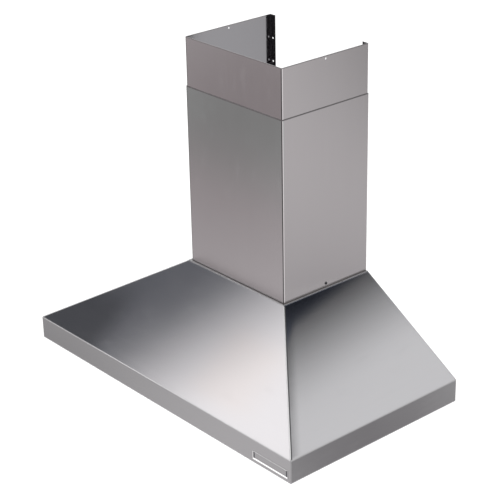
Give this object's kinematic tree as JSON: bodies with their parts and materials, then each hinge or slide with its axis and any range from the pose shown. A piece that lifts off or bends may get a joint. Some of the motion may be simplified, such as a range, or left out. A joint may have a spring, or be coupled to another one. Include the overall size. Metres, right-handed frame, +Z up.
{
  "type": "chimney range hood",
  "caption": "Wall-mounted chimney range hood: pyramid canopy, telescoping flue, blower with damper, tilting grease filters, lamps and push buttons.",
  "frame": {"origin": "middle of the canopy's rim, at the height of its lower edge; the wall plane is at +0.252 m in Y", "axes": "+Z up, +Y towards the wall, +X to the right of someone who faces the hood's front"},
  "size_m": [0.9, 0.5052, 0.776],
  "materials": {
    "canopy_steel": "fine brushed stainless, satin",
    "flue_steel": "fine brushed stainless, satin",
    "inner_steel": "brushed stainless, inside faces",
    "plate_steel": "polished rim, brushed face",
    "galvanised": "galvanised sheet, faint spangle",
    "screws": "zinc-plated fasteners",
    "motor_paint": "dark satin paint",
    "motor_core": "laminations and lacquered windings",
    "bright_steel": "polished",
    "can_aluminium": "drawn can",
    "block_plastic": "moulded",
    "black_plastic": "moulded, fine grain",
    "bezel_plastic": "gloss black",
    "board": "green board",
    "button_silver": "satin silver",
    "lamp_trim": "satin chrome",
    "lamp_glass": "frosted",
    "lamp_shell": "spun",
    "filter_steel": "folded stainless baffles",
    "spring_steel": "spring steel"
  },
  "bodies": {
    "hood": {"canopy_front_panel": "canopy_steel", "canopy_left_panel": "canopy_steel", "canopy_right_panel": "canopy_steel", "canopy_top_plate": "canopy_steel", "flue_lower_cover": "flue_steel", "canopy_back_panel": "inner_steel", "underside_pan": "inner_steel", "badge_plate": "plate_steel", "duct_collar": "galvanised", "damper_pin": "galvanised", "blower_scroll": "galvanised", "blower_left_plate": "galvanised", "blower_right_plate": "galvanised", "motor_bracket": "galvanised", "capacitor_clip": "galvanised", "wiring_box": "galvanised", "wiring_box_cover": "galvanised", "flue_foot_screws": "screws", "collar_screws": "screws", "blower_screws": "screws", "motor_bracket_screws": "screws", "box_cover_screws": "screws", "motor_case": "motor_paint", "motor_end_cap": "motor_paint", "motor_stator": "motor_core", "motor_bearings": "bright_steel", "run_capacitor": "can_aluminium", "terminal_block": "block_plastic", "cable_gland": "black_plastic", "switch_housing": "black_plastic", "control_bezel": "bezel_plastic", "switch_board": "board", "lamp_left_trim": "lamp_trim", "lamp_right_trim": "lamp_trim", "lamp_left_lens": "lamp_glass", "lamp_right_lens": "lamp_glass", "lamp_left_body": "lamp_shell", "lamp_right_body": "lamp_shell", "filter_clips": "spring_steel"},
    "flue_slider": {"flue_upper_cover": "flue_steel"},
    "fan": {"blower_wheel": "galvanised", "wheel_nut": "screws", "motor_shaft": "bright_steel", "motor_rotor": "motor_core"},
    "front_flap": {"damper_front_flap": "galvanised"},
    "rear_flap": {"damper_rear_flap": "galvanised"},
    "filter_left": {"filter_left_frame": "filter_steel", "filter_left_baffles": "filter_steel"},
    "filter_middle": {"filter_middle_frame": "filter_steel", "filter_middle_baffles": "filter_steel"},
    "filter_right": {"filter_right_frame": "filter_steel", "filter_right_baffles": "filter_steel"},
    "pull_left": {"filter_left_pull": "bright_steel"},
    "pull_middle": {"filter_middle_pull": "bright_steel"},
    "pull_right": {"filter_right_pull": "bright_steel"},
    "button_off": {"button_off": "button_silver"},
    "button_low": {"button_low": "button_silver"},
    "button_medium": {"button_medium": "button_silver"},
    "button_high": {"button_high": "button_silver"},
    "button_light": {"button_light": "button_silver"}
  },
  "joints": [
    {"name": "flue_height", "type": "slide", "parent": "hood", "child": "flue_slider", "axis": [0, 0, 1], "range_m": [-0.1, 0.25]},
    {"name": "fan_spin", "type": "hinge", "parent": "hood", "child": "fan", "pos_m": [0, 0.171, 0.142], "axis": [1, 0, 0], "continuous": true},
    {"name": "front_flap_swing", "type": "hinge", "parent": "hood", "child": "front_flap", "pos_m": [0, 0.115, 0.248], "axis": [-1, 0, 0], "range_deg": [0, 80]},
    {"name": "rear_flap_swing", "type": "hinge", "parent": "hood", "child": "rear_flap", "pos_m": [0, 0.115, 0.248], "axis": [1, 0, 0], "range_deg": [0, 80]},
    {"name": "filter_left_tilt", "type": "hinge", "parent": "hood", "child": "filter_left", "pos_m": [-0.26, 0.186, 0.027], "axis": [1, 0, 0], "range_deg": [0, 50]},
    {"name": "pull_left_swing", "type": "hinge", "parent": "filter_left", "child": "pull_left", "pos_m": [-0.26, -0.13, 0.02435], "axis": [1, 0, 0], "range_deg": [-75, 75]},
    {"name": "filter_middle_tilt", "type": "hinge", "parent": "hood", "child": "filter_middle", "pos_m": [0, 0.186, 0.027], "axis": [1, 0, 0], "range_deg": [0, 50]},
    {"name": "pull_middle_swing", "type": "hinge", "parent": "filter_middle", "child": "pull_middle", "pos_m": [0, -0.13, 0.02435], "axis": [1, 0, 0], "range_deg": [-75, 75]},
    {"name": "filter_right_tilt", "type": "hinge", "parent": "hood", "child": "filter_right", "pos_m": [0.26, 0.186, 0.027], "axis": [1, 0, 0], "range_deg": [0, 50]},
    {"name": "pull_right_swing", "type": "hinge", "parent": "filter_right", "child": "pull_right", "pos_m": [0.26, -0.13, 0.02435], "axis": [1, 0, 0], "range_deg": [-75, 75]},
    {"name": "press_off", "type": "slide", "parent": "hood", "child": "button_off", "axis": [0, 0, 1], "range_m": [0, 0.0025], "stiffness_N_per_m": 400, "springref_m": -0.001},
    {"name": "press_low", "type": "slide", "parent": "hood", "child": "button_low", "axis": [0, 0, 1], "range_m": [0, 0.0025], "stiffness_N_per_m": 400, "springref_m": -0.001},
    {"name": "press_medium", "type": "slide", "parent": "hood", "child": "button_medium", "axis": [0, 0, 1], "range_m": [0, 0.0025], "stiffness_N_per_m": 400, "springref_m": -0.001},
    {"name": "press_high", "type": "slide", "parent": "hood", "child": "button_high", "axis": [0, 0, 1], "range_m": [0, 0.0025], "stiffness_N_per_m": 400, "springref_m": -0.001},
    {"name": "press_light", "type": "slide", "parent": "hood", "child": "button_light", "axis": [0, 0, 1], "range_m": [0, 0.0025], "stiffness_N_per_m": 400, "springref_m": -0.001}
  ]
}
